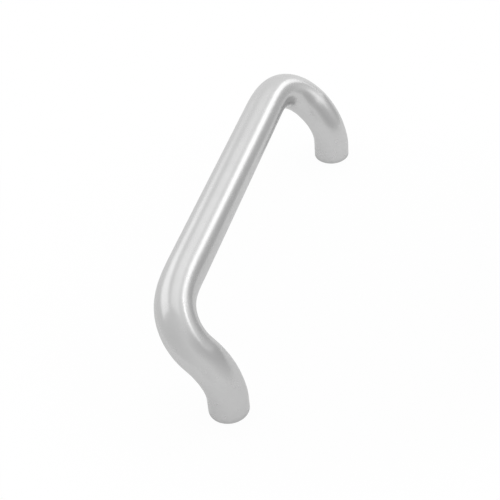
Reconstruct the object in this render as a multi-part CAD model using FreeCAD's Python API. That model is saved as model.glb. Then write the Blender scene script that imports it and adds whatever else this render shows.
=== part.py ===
import FreeCAD, Part
import math
import os

# Offset pull handle: one solid round bar, bent twice at each end.
# The door face is the plane z = 0 and the handle stands out from it along +Z.
# The grip runs along Y, beside the line of the fixings, on the -X side.
# The origin is on the door face, midway between the two fixings.

# Bar and fixings
bar_d = 22.0
fixing_centres = 225.0

# Bent line of the bar, from the door outwards. Each leg stands square to the door,
# cranks sideways to bring the grip clear of the fixings, then turns into the grip.
# The grip bend is tightest at the crank and opens out into the grip over a share of its length.
foot_straight = 7.5
crank_bend_r = 44.0
crank_angle = math.radians(45.0)
crank_opening_out = 0.0
grip_bend_r = 25.0
grip_bend_angle = math.radians(90.0)
grip_opening_out = 0.65

# A solid bar flattens where it is bent: it loses this much in the plane of the bend
# and widens across it. The change comes in, and goes out, over a share of the bend.
crank_bend_thinning = 1.4
grip_bend_thinning = 0.8
thinning_run_in = 0.4
stations_per_bend = 12
steps_per_station = 12

# Broken edge round each foot
foot_edge_break = 0.4

# Blind hole in each foot, drilled, then tapped M8 and countersunk at its mouth
thread_d = 8.0
thread_pitch = 1.25
thread_depth = 18.0
drill_past_thread = 4.0
drill_point_half_angle = math.radians(59.0)
mouth_chamfer = 0.4

bar_r = bar_d / 2
ORIGIN = FreeCAD.Vector(0, 0, 0)
OUT = FreeCAD.Vector(0, 0, 1)
SIDEWAYS = FreeCAD.Vector(-1, 0, 0)
ALONG_GRIP = FreeCAD.Vector(0, 1, 0)
FOOT = ALONG_GRIP * (fixing_centres / 2)

# Two half circles, which meet on the inner and the outer line of each bend
round_section = Part.Wire([Part.makeCircle(bar_r, ORIGIN, OUT, turn, turn + 180) for turn in (90, 270)])


def thinning_at(share):
    """How far the thinning has come in at this share of a bend, from 0 to 1."""
    run = min(share, 1 - share, thinning_run_in) / thinning_run_in
    return (1 - math.cos(math.pi * run)) / 2


def squeezed_section(centre, heading, across, thickness):
    """The bar's section at a point of a bend: its own area, but only this thick in the bend's plane."""
    squeeze = thickness / bar_d
    wide = across / squeeze
    thin = heading.cross(across) * squeeze
    place = FreeCAD.Matrix(wide.x, thin.x, heading.x, centre.x,
                           wide.y, thin.y, heading.y, centre.y,
                           wide.z, thin.z, heading.z, centre.z)
    return round_section.transformGeometry(place)


def turned_at(share, opening_out):
    """Share of a bend's angle that is turned by this share of its length."""
    tail = share - (1 - opening_out)
    lost = 0
    if tail > 0:
        lost = tail / 2 - opening_out / (2 * math.pi) * math.sin(math.pi * tail / opening_out)
    return (share - lost) / (1 - opening_out / 2)


def bend(start, heading, inward, radius, angle, opening_out, thinning):
    """Solid bend of the bar, with the point and the heading where it ends."""
    def heading_at(share):
        turned = angle * turned_at(share, opening_out)
        return heading * math.cos(turned) + inward * math.sin(turned)

    across = heading.cross(inward)
    steps = stations_per_bend * steps_per_station
    step_length = radius * angle / (1 - opening_out / 2) / steps
    point = start
    sections = [squeezed_section(start, heading, across, bar_d)]
    for step in range(steps):
        point = point + heading_at((step + 0.5) / steps) * step_length
        if (step + 1) % steps_per_station == 0:
            share = (step + 1) / steps
            thickness = bar_d - thinning * thinning_at(share)
            sections.append(squeezed_section(point, heading_at(share), across, thickness))
    return Part.makeLoft(sections, True, False), point, heading_at(1)


def foot():
    """Straight end of the back leg, which stands on the door."""
    stub = Part.makeCylinder(bar_r, foot_straight, FOOT, OUT)
    door_edge = min(stub.Edges, key=lambda edge: edge.CenterOfMass.z)
    return stub.makeChamfer(foot_edge_break, [door_edge])


def tapped_hole():
    """Space of the back foot's blind hole. Its wall stands at the thread's full diameter."""
    thread_r = thread_d / 2
    drill_r = (thread_d - thread_pitch) / 2
    mouth_r = thread_r + mouth_chamfer
    run_out = thread_depth + thread_r - drill_r
    drill_depth = thread_depth + drill_past_thread
    tip = drill_depth + drill_r / math.tan(drill_point_half_angle)
    outline = [(0, 0), (mouth_r, 0), (thread_r, mouth_chamfer), (thread_r, thread_depth),
               (drill_r, run_out), (drill_r, drill_depth), (0, tip), (0, 0)]
    corners = [FOOT + SIDEWAYS * across + OUT * depth for across, depth in outline]
    return Part.Face(Part.makePolygon(corners)).revolve(FOOT, OUT, 360)


crank, crank_end, crank_heading = bend(FOOT + OUT * foot_straight, OUT, SIDEWAYS, crank_bend_r,
                                       crank_angle, crank_opening_out, crank_bend_thinning)
grip_bend, grip_end, grip_heading = bend(crank_end, crank_heading, ALONG_GRIP * -1, grip_bend_r,
                                         grip_bend_angle, grip_opening_out, grip_bend_thinning)
back_leg = [foot(), crank, grip_bend]
front_leg = [piece.mirror(ORIGIN, ALONG_GRIP) for piece in back_leg]
grip = Part.makeCylinder(bar_r, 2 * grip_end.y, grip_end, grip_heading)
hole = tapped_hole()

handle_bar = grip.multiFuse(back_leg + front_leg).removeSplitter()
handle_bar = handle_bar.cut(hole).cut(hole.mirror(ORIGIN, ALONG_GRIP))

os.makedirs("parts", exist_ok=True)
handle_bar.exportStep("parts/handle_bar.step")

print("solids", len(handle_bar.Solids), "faces", len(handle_bar.Faces), "valid", handle_bar.isValid())
print("offset", round(-grip_end.x, 2), "projection", round(grip_end.z + bar_r, 2), "mm")
print("volume", round(handle_bar.Volume / 1000, 2), "cm3")
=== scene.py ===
import bmesh
import bpy
import math
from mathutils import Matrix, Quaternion, Vector


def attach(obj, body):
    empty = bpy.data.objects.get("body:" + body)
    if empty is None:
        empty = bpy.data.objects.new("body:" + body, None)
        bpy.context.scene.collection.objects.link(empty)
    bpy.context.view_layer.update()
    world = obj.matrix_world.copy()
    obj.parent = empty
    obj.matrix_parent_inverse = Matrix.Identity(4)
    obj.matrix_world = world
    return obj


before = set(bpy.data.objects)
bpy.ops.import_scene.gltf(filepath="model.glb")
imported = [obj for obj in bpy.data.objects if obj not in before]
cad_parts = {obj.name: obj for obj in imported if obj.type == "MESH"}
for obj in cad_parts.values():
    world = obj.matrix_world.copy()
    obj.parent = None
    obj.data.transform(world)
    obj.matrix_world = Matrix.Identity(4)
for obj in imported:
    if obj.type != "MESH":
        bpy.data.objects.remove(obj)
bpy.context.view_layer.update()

MM = 0.001

# Fixings, as the record gives them
fixing_centres = 225 * MM

# An edge that turns by more than this is a real one, and stays crisp
real_edge = math.radians(25)

# M8 x 1.25 thread in each foot
thread_r = 4 * MM
thread_pitch = 1.25 * MM
thread_crest_r = 3.375 * MM
thread_depth = 18 * MM
root_flat = thread_pitch / 8
flank_slope = math.tan(math.radians(30))
mouth_r = 4.4 * MM
mouth_gap = 0.05 * MM
seat_depth = 0.03 * MM
steps_per_turn = 48

# Radius of the middle of a foot's broken edge, and of the part of its end face that the painted shade near
# the bottom edge leaves out
foot_rim_r = 10.8 * MM
unshaded_face_r = 9.5 * MM

# Round white sheet that the handle stands on, and where its rim begins and ends to melt away
sheet_r = 220 * MM
melt_from = 0.6 * sheet_r
melt_to = 0.98 * sheet_r
sheet_segments = 128
card_segments = 64

# A colour Mix node's two colours and its result, by their places on the node
first_colour = 6
second_colour = 7
mixed_colour = 2


def linear(code):
    """An sRGB hex colour as the linear colour that a socket takes."""
    parts = [int(code[at:at + 2], 16) / 255 for at in (1, 3, 5)]
    return [part / 12.92 if part <= 0.04045 else ((part + 0.055) / 1.055) ** 2.4 for part in parts] + [1]


def add_node(tree, kind, inputs=(), **settings):
    """One node of a tree, with its settings, and its inputs as values or as sockets to link."""
    node = tree.nodes.new(kind)
    for name, value in settings.items():
        setattr(node, name, value)
    for name, value in dict(inputs).items():
        if isinstance(value, bpy.types.NodeSocket):
            tree.links.new(value, node.inputs[name])
        else:
            node.inputs[name].default_value = value
    return node


def new_material(name):
    """An empty node material, with its tree."""
    material = bpy.data.materials.new(name)
    material.use_nodes = True
    material.node_tree.nodes.clear()
    return material, material.node_tree


def satin_anodised_aluminium():
    """Aluminium bar, blasted or etched to a fine even grain, then anodised clear.

    To the eye it is a soft, plain light grey. Lamps run along it as smooth bands with soft edges,
    because the grain spreads them, and the clear layer clouds the grey very slightly.
    """
    blast_grain = 0.5 * MM     # really about 0.05 mm, drawn coarser so that it shows
    layer_cloud = 14 * MM
    hand_patch = 5 * MM
    turned_ring = 0.35 * MM    # really about 0.1 mm, drawn coarser so that it shows
    wave_at_scale_1 = 0.314    # how far apart the wave texture's rings are at a scale of 1
    face_top = 0.05 * MM
    face_end = 0.15 * MM
    # How far up each foot the painted shade reaches, and how strongly it darkens it
    painted_shade_height = 4 * MM
    painted_shade_strength = 0.3
    surface_depth = 0.01 * MM
    surface_strength = 0.12
    material, tree = new_material("satin_anodised_aluminium")
    place = add_node(tree, "ShaderNodeTexCoord").outputs["Object"]
    apart = add_node(tree, "ShaderNodeSeparateXYZ", {0: place})

    grain = add_node(tree, "ShaderNodeTexNoise", {"Vector": place, "Scale": 1 / blast_grain, "Detail": 2})
    cloud = add_node(tree, "ShaderNodeTexNoise", {"Vector": place, "Scale": 1 / layer_cloud, "Detail": 3})
    patch = add_node(tree, "ShaderNodeTexNoise", {"Vector": place, "Scale": 1 / hand_patch, "Detail": 4})

    # Each foot's end was faced square in a lathe, which leaves rings round the hole
    along = add_node(tree, "ShaderNodeMath", {0: apart.outputs["Y"]}, operation="ABSOLUTE")
    beside = add_node(tree, "ShaderNodeMath", {0: along.outputs[0], 1: fixing_centres / 2},
                      operation="SUBTRACT")
    from_hole = add_node(tree, "ShaderNodeCombineXYZ", {"X": apart.outputs["X"], "Y": beside.outputs[0]})
    rings = add_node(tree, "ShaderNodeTexWave", {"Vector": from_hole.outputs[0],
                                                 "Scale": wave_at_scale_1 / turned_ring,
                                                 "Distortion": 0.4, "Detail": 1},
                     wave_type="RINGS", rings_direction="Z")
    end_face = add_node(tree, "ShaderNodeMapRange", {"Value": apart.outputs["Z"], "From Min": face_top,
                                                     "From Max": face_end, "To Min": 1, "To Max": 0})

    # The clear layer is a little thicker in places, which clouds the grey
    grey = add_node(tree, "ShaderNodeMix", {0: cloud.outputs["Fac"], first_colour: linear("#C4C4C4"),
                                            second_colour: linear("#CACACA")}, data_type="RGBA")

    # Painted shade: each foot's outside grows darker grey towards the edge where it meets the door
    shade_fade = add_node(tree, "ShaderNodeMapRange", {"Value": apart.outputs["Z"], "From Min": 0,
                                                      "From Max": painted_shade_height, "To Min": painted_shade_strength,
                                                      "To Max": 0},
                         interpolation_type="SMOOTHSTEP")
    out_from_hole = add_node(tree, "ShaderNodeVectorMath", {0: from_hole.outputs[0]}, operation="LENGTH")
    at_rim = add_node(tree, "ShaderNodeMapRange", {"Value": out_from_hole.outputs["Value"],
                                                   "From Min": unshaded_face_r, "From Max": foot_rim_r})
    # The painted shade, kept to the outside of the foot and its broken edge
    painted_shade = add_node(tree, "ShaderNodeMath", {0: shade_fade.outputs["Result"], 1: at_rim.outputs["Result"]},
                      operation="MULTIPLY")
    # Where the painted shade lies, the grey is mixed towards a darker grey
    colour = add_node(tree, "ShaderNodeMix", {0: painted_shade.outputs[0], first_colour: grey.outputs[mixed_colour],
                                              second_colour: linear("#A0A0A0")}, data_type="RGBA")

    # Patches that hands have rubbed are a little smoother than the rest
    roughness = add_node(tree, "ShaderNodeMapRange", {"Value": patch.outputs["Fac"], "From Min": 0.3,
                                                      "From Max": 0.7, "To Min": 0.24, "To Max": 0.28})
    height = add_node(tree, "ShaderNodeMath", {0: rings.outputs["Fac"], 1: end_face.outputs[0],
                                               2: grain.outputs["Fac"]}, operation="MULTIPLY_ADD")
    surface = add_node(tree, "ShaderNodeBump", {"Height": height.outputs[0], "Strength": surface_strength,
                                                "Distance": surface_depth})

    # The clear layer takes a little of the light that leaves at a low angle, so the bar's sides are darker
    metal = add_node(tree, "ShaderNodeBsdfPrincipled", {"Base Color": colour.outputs[mixed_colour],
                                                        "Metallic": 1,
                                                        "Specular Tint": linear("#F1F1F1"),
                                                        "Roughness": roughness.outputs[0],
                                                        "Normal": surface.outputs[0]})
    add_node(tree, "ShaderNodeOutputMaterial", {"Surface": metal.outputs[0]})
    return material


def plain_share(tree, to_camera, to_metal):
    """How far the camera, and metal or glass, see a surface or the surroundings as plain white."""
    path = add_node(tree, "ShaderNodeLightPath")
    mirrored = add_node(tree, "ShaderNodeMath", {0: path.outputs["Is Glossy Ray"],
                                                 1: path.outputs["Is Transmission Ray"]},
                        operation="MAXIMUM")
    in_metal = add_node(tree, "ShaderNodeMath", {0: mirrored.outputs[0], 1: to_metal}, operation="MULTIPLY")
    share = add_node(tree, "ShaderNodeMath", {0: path.outputs["Is Camera Ray"], 1: to_camera,
                                              2: in_metal.outputs[0]}, operation="MULTIPLY_ADD")
    return share.outputs[0]


def white_sheet(to_camera, to_metal):
    """Matt white sheet under the handle.

    To the camera it is lifted towards plain white, keeps the shadow, and its rim melts into the background.
    """
    material, tree = new_material("white_sheet")
    place = add_node(tree, "ShaderNodeTexCoord").outputs["Object"]
    from_middle = add_node(tree, "ShaderNodeVectorMath", {0: place}, operation="LENGTH")
    lift = add_node(tree, "ShaderNodeMapRange", {"Value": from_middle.outputs["Value"],
                                                 "From Min": melt_from, "From Max": melt_to,
                                                 "To Min": to_camera, "To Max": 1},
                    interpolation_type="SMOOTHSTEP")
    sheet = add_node(tree, "ShaderNodeBsdfDiffuse", {"Color": linear("#F1F1F1")})
    plain = add_node(tree, "ShaderNodeEmission", {"Color": linear("#FFFFFF"), "Strength": 1})
    shown = add_node(tree, "ShaderNodeMixShader", {0: plain_share(tree, lift.outputs["Result"], to_metal),
                                                   1: sheet.outputs[0], 2: plain.outputs[0]})
    add_node(tree, "ShaderNodeOutputMaterial", {"Surface": shown.outputs[0]})
    return material


def new_piece(name, shape, material):
    """A mesh object from a finished bmesh, smooth, in the scene."""
    mesh = bpy.data.meshes.new(name)
    shape.to_mesh(mesh)
    shape.free()
    mesh.materials.append(material)
    mesh.shade_smooth()
    piece = bpy.data.objects.new(name, mesh)
    bpy.context.scene.collection.objects.link(piece)
    return piece


def thread_turns(name, foot_y, material):
    """The thread's ridge: a closed V that winds up the wall of one foot's hole, seated in it."""
    base_half = (thread_pitch - root_flat) / 2 + seat_depth * flank_slope
    crest_half = base_half - (thread_r + seat_depth - thread_crest_r) * flank_slope
    profile = [(thread_r + seat_depth, -base_half), (thread_crest_r, -crest_half),
               (thread_crest_r, crest_half), (thread_r + seat_depth, base_half)]
    steps = round(steps_per_turn * (thread_depth + thread_pitch) / thread_pitch)
    shape = bmesh.new()
    rings = []
    for step in range(steps + 1):
        turned = 2 * math.pi * step / steps_per_turn
        ring = []
        for radius, rise in profile:
            # At the mouth the turns stay clear of the end face and follow the countersink
            z = max(thread_pitch * step / steps_per_turn + rise, mouth_gap)
            r = max(radius, min(mouth_r + seat_depth - z, mouth_r))
            ring.append(shape.verts.new((r * math.cos(turned), foot_y + r * math.sin(turned), z)))
        rings.append(ring)
    for lower, upper in zip(rings, rings[1:]):
        for corner in range(len(profile)):
            after = (corner + 1) % len(profile)
            shape.faces.new((lower[corner], lower[after], upper[after], upper[corner]))
    shape.faces.new(reversed(rings[0]))
    shape.faces.new(rings[-1])
    bmesh.ops.recalc_face_normals(shape, faces=shape.faces)
    piece = new_piece(name, shape, material)
    piece.data.set_sharp_from_angle(angle=real_edge)
    return piece


def smooth_bar(bar):
    """The bar's faces as one smooth skin, creased only at its real edges. Its points stay where they are."""
    joined = bar.modifiers.new("joined_faces", "WELD")
    joined.merge_threshold = 0.001 * MM
    creased = bar.modifiers.new("real_edges", "EDGE_SPLIT")
    creased.split_angle = real_edge
    creased.use_edge_sharp = False


def turn_to(thing, place, aim, turn):
    """Puts a lamp, a card or the camera at a place, facing a point and turned this far out of level."""
    thing.location = place
    thing.rotation_mode = "QUATERNION"
    level = (aim - place).to_track_quat("-Z", "Y")
    thing.rotation_quaternion = level @ Quaternion((0, 0, 1), turn)


def softbox(name, place, aim, turn, wide, high, radiance):
    """A soft lamp that faces a point. A surface that mirrors it shows its radiance."""
    data = bpy.data.lights.new(name, "AREA")
    data.shape = "RECTANGLE"
    data.size = wide
    data.size_y = high
    data.energy = radiance * math.pi * wide * high
    lamp = bpy.data.objects.new(name, data)
    turn_to(lamp, place, aim, turn)
    lamp.visible_camera = False
    bpy.context.scene.collection.objects.link(lamp)


def grey_card(place, aim, turn, reach_wide, reach_high, hold_back, grey):
    """A grey card with soft edges beside the handle, which the metal mirrors as a darker band.

    It faces a point, and holds back this share of what is behind its middle. The camera looks past it.
    """
    material, tree = new_material("grey_card")
    here = add_node(tree, "ShaderNodeTexCoord").outputs["Object"]
    in_card = add_node(tree, "ShaderNodeVectorMath", {0: here, 1: (1 / reach_wide, 1 / reach_high, 0)},
                       operation="MULTIPLY")
    from_middle = add_node(tree, "ShaderNodeVectorMath", {0: in_card.outputs["Vector"]}, operation="LENGTH")
    density = add_node(tree, "ShaderNodeMapRange", {"Value": from_middle.outputs["Value"], "From Min": 0,
                                                    "From Max": 1, "To Min": hold_back, "To Max": 0},
                       interpolation_type="SMOOTHSTEP")
    clear = add_node(tree, "ShaderNodeBsdfTransparent")
    card = add_node(tree, "ShaderNodeEmission", {"Color": linear(grey), "Strength": 1})
    shown = add_node(tree, "ShaderNodeMixShader", {0: density.outputs["Result"], 1: clear.outputs[0],
                                                   2: card.outputs[0]})
    add_node(tree, "ShaderNodeOutputMaterial", {"Surface": shown.outputs[0]})
    shape = bmesh.new()
    bmesh.ops.create_circle(shape, cap_ends=True, segments=card_segments, radius=1)
    bmesh.ops.scale(shape, vec=(reach_wide, reach_high, 1), verts=shape.verts)
    piece = new_piece("grey_card", shape, material)
    turn_to(piece, place, aim, turn)
    piece.visible_camera = False


def plain_surroundings(level, brighter, dim_level, dim_side, dim_reach, to_metal):
    """Pale surroundings that brighten a little along one vector and are dim round another.

    To the camera they are plain white, and to metal partly so.
    """
    world = bpy.data.worlds.new("plain_surroundings")
    bpy.context.scene.world = world
    world.use_nodes = True
    tree = world.node_tree
    tree.nodes.clear()
    direction = add_node(tree, "ShaderNodeTexCoord").outputs["Generated"]
    along = add_node(tree, "ShaderNodeVectorMath", {0: direction, 1: brighter}, operation="DOT_PRODUCT")
    even = add_node(tree, "ShaderNodeMath", {0: along.outputs["Value"], 1: level}, operation="ADD")
    towards = add_node(tree, "ShaderNodeVectorMath", {0: direction, 1: dim_side}, operation="DOT_PRODUCT")
    strength = add_node(tree, "ShaderNodeMapRange", {"Value": towards.outputs["Value"], "From Min": dim_reach,
                                                     "From Max": 1, "To Min": even.outputs[0],
                                                     "To Max": dim_level},
                        interpolation_type="SMOOTHSTEP")
    room = add_node(tree, "ShaderNodeBackground", {"Color": linear("#FFFFFF"),
                                                   "Strength": strength.outputs["Result"]})
    plain = add_node(tree, "ShaderNodeBackground", {"Color": linear("#FFFFFF"), "Strength": 1})
    shown = add_node(tree, "ShaderNodeMixShader", {0: plain_share(tree, 1, to_metal), 1: room.outputs[0],
                                                   2: plain.outputs[0]})
    add_node(tree, "ShaderNodeOutputWorld", {"Surface": shown.outputs[0]})


def white_floor(material):
    """The sheet that the feet stand on."""
    shape = bmesh.new()
    bmesh.ops.create_circle(shape, cap_ends=True, segments=sheet_segments, radius=sheet_r)
    new_piece("white_floor", shape, material)


def photo_camera(place, aim, roll, lens):
    """The camera where the photograph was taken from."""
    data = bpy.data.cameras.new("photo_camera")
    data.sensor_width = 36
    data.lens = lens
    data.clip_start = 0.01
    data.clip_end = 20
    camera = bpy.data.objects.new("photo_camera", data)
    turn_to(camera, place, aim, roll)
    bpy.context.scene.collection.objects.link(camera)
    bpy.context.scene.camera = camera


bpy.context.scene.view_settings.view_transform = "Standard"

aluminium = satin_anodised_aluminium()
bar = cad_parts["handle_bar"]
bar.data.materials.clear()
bar.data.materials.append(aluminium)
smooth_bar(bar)

for side, sign in (("back", 1), ("front", -1)):
    turns = thread_turns(side + "_foot_thread", sign * fixing_centres / 2, aluminium)
    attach(turns, "root")

# Soft studio: a white room, five soft lamps and a grey card, in metres from the middle of the fixings
plain_surroundings(level=0.969, brighter=Vector((0.186, 0.241, -0.041)),
                   dim_level=0.355, dim_side=Vector((0.626, 0.780, -0.025)), dim_reach=0.904,
                   to_metal=0.50)
white_floor(white_sheet(to_camera=0.95, to_metal=0.50))
softbox("right_softbox", place=Vector((0.634, 0.878, 0.669)), aim=Vector((-0.020, -0.390, 0.050)),
        turn=-0.899, wide=0.889, high=0.387, radiance=0.868)
softbox("left_softbox", place=Vector((-0.790, 0.433, 0.515)), aim=Vector((-0.020, 0.679, 0.050)),
        turn=-0.045, wide=1.601, high=0.506, radiance=0.522)
softbox("top_softbox", place=Vector((-0.093, 0.424, 0.947)), aim=Vector((-0.020, 0.398, 0.050)),
        turn=0.343, wide=1.330, high=0.601, radiance=0.279)
softbox("slim_softbox", place=Vector((0.552, 0.261, 0.745)), aim=Vector((-0.020, 1.201, 0.050)),
        turn=0.996, wide=1.038, high=0.232, radiance=1.502)
softbox("side_softbox", place=Vector((1.292, 0.365, 0.680)), aim=Vector((-0.010, 0.000, 0.040)),
        turn=-0.780, wide=0.863, high=0.520, radiance=0.646)
grey_card(place=Vector((0.187, 0.006, 0.064)), aim=Vector((-0.010, 0.000, 0.040)),
          turn=-0.539, reach_wide=0.662, reach_high=0.237, hold_back=0.942, grey="#CACACA")

photo_camera(place=Vector((0.167518, -0.507621, 0.489733)), aim=Vector((-0.016824, -0.012822, 0.021702)),
             roll=math.radians(-5.557), lens=88.0786)
